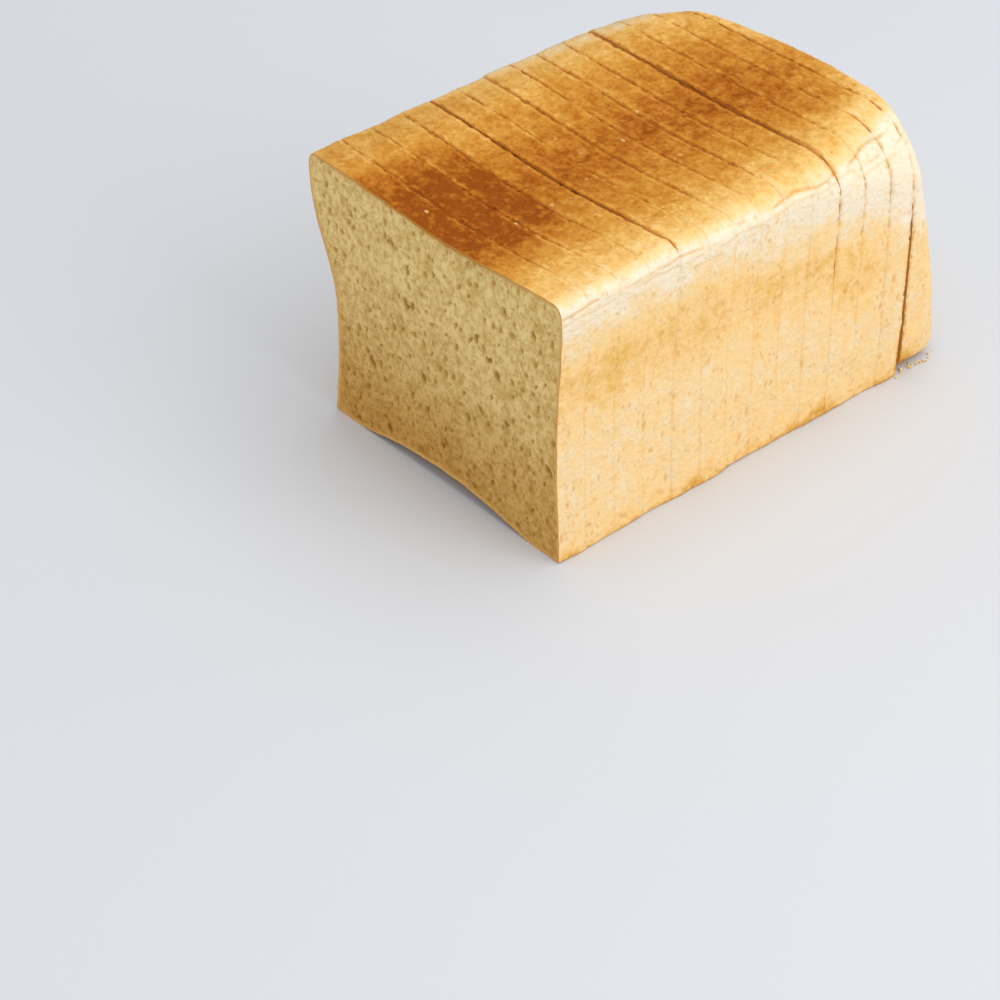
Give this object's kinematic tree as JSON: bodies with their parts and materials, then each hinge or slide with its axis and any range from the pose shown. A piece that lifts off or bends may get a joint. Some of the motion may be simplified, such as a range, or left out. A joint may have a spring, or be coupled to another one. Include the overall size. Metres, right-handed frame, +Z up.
{
  "type": "tin loaf",
  "caption": "Sliced tin loaf: upright slices and a rounded crust heel standing close together in the loaf's own shape, open at the cut end.",
  "frame": {"origin": "middle of the loaf's base, on the surface it stands on", "axes": "+Y along the loaf from its open cut face to the heel, +Z up, +X to the right of someone who looks at the open cut face"},
  "size_m": [0.119, 0.1694, 0.0957],
  "materials": {
    "slice": "matte crumb inside a thin golden crust with a soft sheen",
    "heel": "golden crust with a soft sheen, matte crumb on its cut face"
  },
  "bodies": {
    "root": {"slice_01": "slice", "slice_02": "slice", "slice_03": "slice", "slice_04": "slice", "slice_05": "slice", "slice_06": "slice", "slice_07": "slice", "slice_08": "slice", "slice_09": "slice", "slice_10": "slice", "slice_11": "slice", "slice_12": "slice", "slice_13": "slice", "heel": "heel"}
  },
  "joints": []
}
